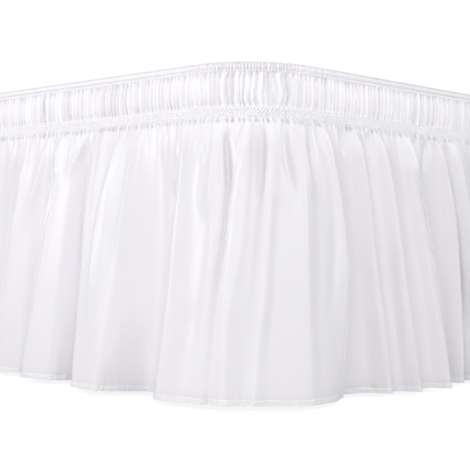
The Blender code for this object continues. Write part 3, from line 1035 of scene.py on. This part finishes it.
def polyester(name, colour, warm, painted_light_under_band, deep, roughness, sheen):
    """Brushed microfibre polyester, plain woven and calendered: white, soft, with a faint
    satin sheen that brightens where a fold turns away. Its colour has painted light, whiter just
    under the lower band, and painted shade, darker deep between its gathers."""
    material, tree, shader = new_material(name, {
        "Roughness": roughness, "Specular IOR Level": 0.35, "Coat Weight": 0.2,
        "Coat Roughness": 0.3, "Sheen Weight": sheen, "Sheen Roughness": 0.35,
    })
    where = add_node(tree, "ShaderNodeTexCoord")
    patches = add_node(
        tree, "ShaderNodeTexNoise", inputs={"Scale": 5.0, "Detail": 2.0, "Roughness": 0.5},
        links={"Vector": (where, "Object")},
    )
    share = add_node(
        tree, "ShaderNodeMapRange", inputs={"From Min": 0.5, "From Max": 0.72},
        links={"Value": (patches, "Fac")},
    )
    tint = add_node(
        tree, "ShaderNodeMix", settings=MIX_COLOURS,
        inputs={MIX_A: linear(colour), MIX_B: linear(warm)}, links={"Factor": (share, "Result")},
    )
    apart = add_node(tree, "ShaderNodeSeparateXYZ", links={"Vector": (where, "Object")})
    # Painted light: the ruffle's colour turns whiter over the last few centimetres under the lower band.
    under_band_light_share = add_node(
        tree, "ShaderNodeMapRange", settings={"interpolation_type": "SMOOTHSTEP"},
        inputs={"From Min": RUFFLE_TOP - 0.042, "From Max": RUFFLE_TOP - 0.002},
        links={"Value": (apart, "Z")},
    )
    gather = add_node(tree, "ShaderNodeAttribute", settings={"attribute_name": "painted_gather_shade"})
    # Mixes in the painted light under the lower band, then the painted shade deep between the gathers.
    for over, factor in ((painted_light_under_band, (under_band_light_share, "Result")), (deep, (gather, "Fac"))):
        tint = add_node(
            tree, "ShaderNodeMix", settings=MIX_COLOURS, inputs={MIX_B: linear(over)},
            links={"Factor": factor, MIX_A: (tint, MIX_RESULT)},
        )
    tree.links.new(tint.outputs[MIX_RESULT], shader.inputs["Base Color"])
    slack = add_node(
        tree, "ShaderNodeTexNoise", inputs={"Scale": 85.0, "Detail": 3.0, "Roughness": 0.55},
        links={"Vector": (where, "Object")},
    )
    soft = add_node(
        tree, "ShaderNodeBump", inputs={"Strength": 0.12, "Distance": 0.002},
        links={"Height": (slack, "Fac")},
    )
    # The real threads are about 0.15 mm apart, and are drawn coarser, at 0.6 mm, to show.
    weave = plain_weave(tree, (where, "UV"), 0.0006, 0.6)
    bump = add_node(
        tree, "ShaderNodeBump", inputs={"Strength": 0.1, "Distance": 0.0003},
        links={"Height": (weave, "Value"), "Normal": (soft, "Normal")},
    )
    tree.links.new(bump.outputs["Normal"], shader.inputs["Normal"])
    return material


def ticking():
    """Cotton ticking, plain woven and unbleached: matte, with visible threads."""
    material, tree, shader = new_material("cotton ticking", {"Roughness": 0.9})
    where = add_node(tree, "ShaderNodeTexCoord")
    place = (where, "Object")
    mottle(tree, shader, place, {"Scale": 40.0, "Detail": 4.0}, colours().ticking, 0.9, 1.08)
    # The real threads are about 0.4 mm apart, and are drawn coarser, at 1.2 mm, to show.
    weave = plain_weave(tree, place, 0.0012, 0.8)
    bump = add_node(
        tree, "ShaderNodeBump", inputs={"Strength": 0.35, "Distance": 0.0008},
        links={"Height": (weave, "Value")},
    )
    tree.links.new(bump.outputs["Normal"], shader.inputs["Normal"])
    return material


def beech():
    """Turned beech under satin lacquer: fine straight grain up the leg, a soft gloss."""
    material, tree, shader = new_material("lacquered beech", {"Roughness": 0.42, "Coat Weight": 0.3})
    where = add_node(tree, "ShaderNodeTexCoord")
    stretch = add_node(
        tree, "ShaderNodeMapping", inputs={"Scale": (1.0, 1.0, 0.08)},
        links={"Vector": (where, "Object")},
    )
    noise = {"Scale": 260.0, "Detail": 5.0, "Roughness": 0.6}
    grain = mottle(tree, shader, (stretch, "Vector"), noise, colours().wood, 0.72, 1.15)
    bump = add_node(
        tree, "ShaderNodeBump", inputs={"Strength": 0.15, "Distance": 0.0004},
        links={"Height": (grain, "Fac")},
    )
    tree.links.new(bump.outputs["Normal"], shader.inputs["Normal"])
    return material


def sewing_thread():
    """Spun polyester thread: white, a little glossier than the cloth, twisted."""
    material, tree, shader = new_material("sewing thread", {"Roughness": 0.5})
    where = add_node(tree, "ShaderNodeTexCoord")
    twist = {"Scale": 2500.0, "Detail": 1.0}
    mottle(tree, shader, (where, "Object"), twist, colours().thread, 0.9, 1.0)
    return material


# ---- Stitches, by Geometry Nodes ----


# A stitch's length as a share of the stitches' pitch: the rest is the hole between two.
STITCH_SHARE = 0.78
STITCH_ROW_STEP = 0.004
THREAD_OUT = 0.0001


def stitch_sizes():
    """The stitches' sizes, by the names of the tree's inputs."""
    pitch = sizes().stitch_pitch
    return {
        "Stitch pitch": pitch,
        "Thread width": sizes().stitch_width,
        "Stitch length": pitch * STITCH_SHARE,
    }


def stitch_tree(material):
    """A stitch of thread laid on every step along the object's edges."""
    tree = bpy.data.node_groups.new("machine stitches", "GeometryNodeTree")
    tree.interface.new_socket("Geometry", in_out="INPUT", socket_type="NodeSocketGeometry")
    for name, value in stitch_sizes().items():
        socket = tree.interface.new_socket(name, in_out="INPUT", socket_type="NodeSocketFloat")
        socket.default_value = value
    tree.interface.new_socket("Geometry", in_out="OUTPUT", socket_type="NodeSocketGeometry")
    given = add_node(tree, "NodeGroupInput")
    curve = add_node(tree, "GeometryNodeMeshToCurve", links={"Mesh": (given, "Geometry")})
    steps = add_node(
        tree, "GeometryNodeResampleCurve", settings={"mode": "LENGTH"},
        links={"Curve": (curve, "Curve"), "Length": (given, "Stitch pitch")},
    )
    tangent = add_node(tree, "GeometryNodeInputTangent")
    turn = add_node(
        tree, "FunctionNodeAlignRotationToVector", settings={"axis": "X"},
        links={"Vector": (tangent, "Tangent")},
    )
    bead = add_node(tree, "GeometryNodeMeshUVSphere", inputs={"Segments": 4, "Rings": 2, "Radius": 0.5})
    size = add_node(
        tree, "ShaderNodeCombineXYZ",
        links={"X": (given, "Stitch length"), "Y": (given, "Thread width"), "Z": (given, "Thread width")},
    )
    laid = add_node(
        tree, "GeometryNodeInstanceOnPoints",
        links={
            "Points": (steps, "Curve"), "Instance": (bead, "Mesh"),
            "Rotation": (turn, "Rotation"), "Scale": (size, "Vector"),
        },
    )
    real = add_node(tree, "GeometryNodeRealizeInstances", links={"Geometry": (laid, "Instances")})
    shaded = add_node(tree, "GeometryNodeSetShadeSmooth", links={"Geometry": (real, "Geometry")})
    finished = add_node(
        tree, "GeometryNodeSetMaterial", inputs={"Material": material},
        links={"Geometry": (shaded, "Geometry")},
    )
    add_node(tree, "NodeGroupOutput", links={"Geometry": (finished, "Geometry")})
    return tree


def sew_rows(name, rows):
    """Turns closed rows of points into one plain mesh of stitches."""
    thread = sewing_thread()
    tree = stitch_tree(thread)
    lines = bpy.data.meshes.new(name + " rows")
    points, edges = [], []
    for row in rows:
        start = len(points)
        points += [tuple(point) for point in row]
        edges += [(start + i, start + (i + 1) % len(row)) for i in range(len(row))]
    lines.from_pydata(points, edges, [])
    guide = put_in_scene(name + " guide", lines)
    modifier = guide.modifiers.new("stitches", "NODES")
    modifier.node_group = tree
    values = stitch_sizes()
    for item in tree.interface.items_tree:
        if item.item_type == "SOCKET" and item.in_out == "INPUT" and item.name in values:
            modifier[item.identifier] = values[item.name]
    graph = bpy.context.evaluated_depsgraph_get()
    mesh = bpy.data.meshes.new_from_object(guide.evaluated_get(graph))
    bpy.data.objects.remove(guide)
    mesh.name = name
    mesh.materials.clear()
    stitches = add_piece(name, mesh, thread)
    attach(stitches, BODY)


def band_stitch_rows(band_top, rows):
    """Closed rows of points on a band's face, one for each row of stitches."""
    runs = np.arange(0.0, PERIMETER, STITCH_ROW_STEP)
    x, y = line_point(runs, THREAD_OUT)
    return [np.stack([x, y, np.full(len(runs), band_top - row)], axis=1) for row in rows]


# ---- The box spring ----


# The box spring's outline as pairs in millimetres: how far in from its side, and how far up from
# its foot or down from its top. The dip near the top is the seam round it.
BASE_FOOT_LINE = ((60, 0.4), (10, 0), (3, 2), (0, 8), (0, 40))
BASE_TOP_LINE = (
    (0, 40), (0, 8), (2, 3), (7, 0.6), (14, 1.6), (16, 3), (18, 1.4), (26, 0), (50, -1.2), (75, -1.8),
)
BASE_CORNER_STEPS = 12


def rounded_loop(out, z):
    """Points of a rounded rectangle at a distance out from the bands' face."""
    corner = (np.arange(BASE_CORNER_STEPS + 1) / BASE_CORNER_STEPS - 0.5) * ARC
    x, y = line_point(np.add.outer(CORNER_RUNS, corner).ravel(), out)
    return np.stack([x, y, np.full(len(x), z)], axis=1)


def box_spring_mesh():
    """An upholstered block: flat border, softly rounded top edge, sewn seam round the top."""
    side = -(FIT_GAP + BAND_THICK)
    outline = [(side - inset * MM, BASE_LOW[2] + up * MM) for inset, up in BASE_FOOT_LINE]
    outline += [(side - inset * MM, BASE_HIGH[2] - down * MM) for inset, down in BASE_TOP_LINE]
    shape = bmesh.new()
    loops = [[shape.verts.new(point) for point in rounded_loop(out, z)] for out, z in outline]
    for lower, upper in zip(loops, loops[1:]):
        for i in range(len(lower)):
            j = (i + 1) % len(lower)
            shape.faces.new((lower[i], lower[j], upper[j], upper[i]))
    shape.faces.new(loops[-1])
    shape.faces.new(list(reversed(loops[0])))
    mesh = bpy.data.meshes.new("box_spring_body")
    shape.to_mesh(mesh)
    shape.free()
    mesh.shade_smooth()
    return mesh


# ---- Operators ----


class HangRuffle(bpy.types.Operator):
    """Hang the gathered ruffle in its folds"""

    bl_idname = "bed_skirt.hang_ruffle"
    bl_label = "Hang ruffle"

    def execute(self, context):
        cloth = polyester(
            "white polyester", colours().cloth, colours().cloth_warm, colours().cloth_painted_light_under_band,
            colours().cloth_painted_shade, roughness=0.45, sheen=0.8,
        )
        folds = all_folds()
        in_fold = len(PLAIN_LINES)
        first, last = -1, len(CORNER_FOLDS) + in_fold - 1
        lines = (len(folds) - 1 - last) // (PLAIN_LENGTHS * in_fold) * in_fold
        cuts = [last + lines * i for i in range(PLAIN_LENGTHS)] + [len(folds) - 1]
        hem = [
            hang_panel("ruffle_corner_foot", folds, first, HIDDEN_SEAM, CORNER_STEPS, cloth),
            hang_panel("ruffle_corner_side", folds, HIDDEN_SEAM, last, CORNER_STEPS, cloth),
        ]
        for number, (start, end) in enumerate(zip(cuts, cuts[1:]), start=1):
            hem.append(hang_panel(f"ruffle_side_{number}", folds, start, end, PLAIN_STEPS, cloth))
        row = np.concatenate([length[:-1] for length in hem])
        sew_rows("hem_stitches", [row])
        return {"FINISHED"}


class ShirHeading(bpy.types.Operator):
    """Draw up the shirred heading"""

    bl_idname = "bed_skirt.shir_heading"
    bl_label = "Shir heading"

    def execute(self, context):
        colour, deep = colours().gathered_cloth_painted_light, colours().gathered_painted_shade
        cloth = polyester("shirred polyester", colour, colour, colour, deep, roughness=0.45, sheen=0.8)
        drops = np.append(np.array(HEADING_ROWS) * MM, HEADING_TOP - HEADING_FOOT)
        sew_ring(
            "heading", "shirred_heading", HEADING_FOOT, HEADING_TOP, drops,
            heading_form, cloth,
        )
        return {"FINISHED"}


class SewBands(bpy.types.Operator):
    """Sew the two elastic bands and their stitches"""

    bl_idname = "bed_skirt.sew_bands"
    bl_label = "Sew bands"

    def execute(self, context):
        colour, deep = colours().gathered_cloth_painted_light, colours().gathered_painted_shade
        cloth = polyester(
            "gathered elastic band", colour, colour, colour, deep, roughness=0.5, sheen=0.5,
        )
        for which, low, high, form, rows in (
            ("upper", UPPER_LOW[2], UPPER_HIGH[2], upper_band_form, UPPER_MESH_ROWS),
            ("lower", LOWER_LOW[2], LOWER_HIGH[2], lower_band_form, LOWER_MESH_ROWS),
        ):
            drops = np.linspace(0.0, 1.0, rows) * (high - low)
            sew_ring(
                which + "_band", which + "_elastic_band", low, high, drops, form,
                cloth,
            )
        rows = band_stitch_rows(SKIRT_TOP, UPPER_ROWS) + band_stitch_rows(HEADING_FOOT, LOWER_ROWS)
        sew_rows("band_stitches", rows)
        return {"FINISHED"}


class UpholsterBoxSpring(bpy.types.Operator):
    """Upholster the plain box spring and finish its legs"""

    bl_idname = "bed_skirt.upholster_box_spring"
    bl_label = "Upholster box spring"

    def execute(self, context):
        base = add_piece("box_spring_body", box_spring_mesh(), ticking())
        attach(base, BODY)
        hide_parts("box_spring")
        wood = beech()
        for number in range(1, 5):
            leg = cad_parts[f"base_leg_{number}"]
            leg.data.materials.clear()
            leg.data.materials.append(wood)
        return {"FINISHED"}


class SetStage(bpy.types.Operator):
    """Set the pale floor, the soft light and the camera"""

    bl_idname = "bed_skirt.set_stage"
    bl_label = "Set stage"

    def execute(self, context):
        set_floor()
        set_light(context.scene)
        set_camera(context.scene)
        return {"FINISHED"}


# ---- Stage ----

# The camera stands level before the corner at +X, -Y: how far from the corner where the two
# sides' lines would meet, how far to its side, and how high.
CAMERA_DISTANCE = 1.333
CAMERA_ASIDE = 0.019
CAMERA_BELOW_TOP = 0.2155
CAMERA_TURN = math.radians(-0.28)
CAMERA_ROLL = math.radians(0.92)
CAMERA_LENS = 88.85
CAMERA_SHIFT_Y = 0.0183
CAMERA_SENSOR = 36.0
CAMERA_CLIP = 0.02

WHITE = (1.0, 1.0, 1.0, 1.0)
FLOOR_REACH = 40.0
FLOOR_GLOW = 0.9
FLOOR_BOUNCE = srgb("C4C4C6")
BOUNCE_BELOW = 0.0005
SURROUND_LIGHT = 0.62
SURROUND_COLOUR = (0.99, 0.99, 1.0, 1.0)

# The lamps stand round the corner: turn is degrees to the camera's right, distance is on the
# level and up is above the skirt's middle, both in metres.
Lamp = namedtuple("Lamp", "name turn distance up size power")

LAMPS = (
    Lamp("left", -80, 2.0, 0.65, 0.6, 13.8),
    Lamp("low front", -15, 2.0, 0.0, 0.5, 6.8),
    Lamp("front", 5, 2.0, 1.1, 0.5, 12.3),
    Lamp("right", 65, 2.0, 0.9, 0.5, 10.4),
)


def camera_axes():
    """Right and forward of the camera, on the level."""
    angle = math.pi / 4 + CAMERA_TURN
    right = Vector((math.sin(angle), math.cos(angle), 0.0))
    forward = Vector((-math.cos(angle), math.sin(angle), 0.0))
    return right, forward


def set_camera(scene):
    right, forward = camera_axes()
    place = Vector((LINE_X, -LINE_Y, 0.0)) - right * CAMERA_ASIDE - forward * CAMERA_DISTANCE
    place.z = SKIRT_TOP - CAMERA_BELOW_TOP
    data = bpy.data.cameras.new("camera")
    data.lens = CAMERA_LENS
    data.sensor_width = CAMERA_SENSOR
    data.shift_y = CAMERA_SHIFT_Y
    data.clip_start = CAMERA_CLIP
    camera = put_in_scene("camera", data)
    facing = Matrix((right, Vector((0.0, 0.0, 1.0)), -forward)).transposed().to_4x4()
    camera.matrix_world = Matrix.Translation(place) @ facing @ Matrix.Rotation(CAMERA_ROLL, 4, "Z")
    scene.camera = camera


def floor_plane(name, height, colour, glow):
    """A wide level sheet of matte floor."""
    shape = bmesh.new()
    bmesh.ops.create_grid(shape, x_segments=1, y_segments=1, size=FLOOR_REACH)
    bmesh.ops.translate(shape, verts=shape.verts, vec=(0.0, 0.0, height))
    mesh = bpy.data.meshes.new(name)
    shape.to_mesh(mesh)
    shape.free()
    material, _, _ = new_material(name, {
        "Base Color": linear(colour), "Roughness": 1.0, "Specular IOR Level": 0.0,
        "Emission Color": WHITE, "Emission Strength": glow,
    })
    return add_piece(name, mesh, material)


def set_floor():
    """The pale floor that the camera sees, and a greyer one under it that throws light back, so
    that the hem is lit by a floor in the bed's shade and not by a glowing one."""
    floor = floor_plane("floor", 0.0, colours().floor, FLOOR_GLOW)
    floor.visible_diffuse = False
    floor.visible_glossy = False
    floor.visible_shadow = False
    bounce = floor_plane("floor_bounce", -BOUNCE_BELOW, FLOOR_BOUNCE, 0.0)
    bounce.visible_camera = False


def add_area_light(name, place, aim, size, power):
    data = bpy.data.lights.new(name, "AREA")
    data.shape = "SQUARE"
    data.size = size
    data.energy = power
    lamp = put_in_scene(name, data)
    lamp.location = place
    lamp.rotation_euler = (aim - place).to_track_quat("-Z", "Y").to_euler()


def set_light(scene):
    """A soft white surround, which the camera sees as pure white, and large lamps."""
    right, forward = camera_axes()
    up = Vector((0.0, 0.0, 1.0))
    world = bpy.data.worlds.new("white surround")
    scene.world = world
    world.use_nodes = True
    tree = world.node_tree
    output = tree.nodes["World Output"]
    white = tree.nodes["Background"]
    white.inputs["Color"].default_value = WHITE
    white.inputs["Strength"].default_value = 1.0
    soft = add_node(
        tree, "ShaderNodeBackground", inputs={"Color": SURROUND_COLOUR, "Strength": SURROUND_LIGHT},
    )
    ray = add_node(tree, "ShaderNodeLightPath")
    seen = add_node(
        tree, "ShaderNodeMixShader",
        links={"Fac": (ray, "Is Camera Ray"), 1: (soft, "Background"), 2: (white, "Background")},
    )
    tree.links.new(seen.outputs["Shader"], output.inputs["Surface"])
    corner = Vector((LINE_X, -LINE_Y, SKIRT_TOP / 2))
    for lamp in LAMPS:
        turn = math.radians(lamp.turn)
        level = right * math.sin(turn) - forward * math.cos(turn)
        place = corner + level * lamp.distance + up * lamp.up
        add_area_light(lamp.name, place, corner, lamp.size, lamp.power)
    scene.view_settings.view_transform = "Standard"
    scene.view_settings.look = "None"


# ---- The add-on's panel, and the run ----

STEPS = (
    "hang_ruffle", "shir_heading", "sew_bands", "upholster_box_spring", "set_stage",
)


class BedSkirtPanel(bpy.types.Panel):
    """Sizes, colours and steps of the bed skirt"""

    bl_idname = "VIEW3D_PT_bed_skirt"
    bl_label = "Bed skirt"
    bl_space_type = "VIEW_3D"
    bl_region_type = "UI"
    bl_category = "Bed skirt"

    def draw(self, context):
        layout = self.layout
        for group in (context.scene.bed_skirt_sizes, context.scene.bed_skirt_colours):
            for name in group.__annotations__:
                layout.prop(group, name)
        for step in STEPS:
            layout.operator("bed_skirt." + step)


CLASSES = (
    BedSkirtSizes, BedSkirtColours, HangRuffle, ShirHeading, SewBands, UpholsterBoxSpring,
    SetStage, BedSkirtPanel,
)


def register():
    for cls in CLASSES:
        bpy.utils.register_class(cls)
    bpy.types.Scene.bed_skirt_sizes = PointerProperty(type=BedSkirtSizes)
    bpy.types.Scene.bed_skirt_colours = PointerProperty(type=BedSkirtColours)


def unregister():
    del bpy.types.Scene.bed_skirt_colours
    del bpy.types.Scene.bed_skirt_sizes
    for cls in reversed(CLASSES):
        bpy.utils.unregister_class(cls)


def main():
    register()
    for step in STEPS:
        getattr(bpy.ops.bed_skirt, step)()


if __name__ == "__main__":
    main()
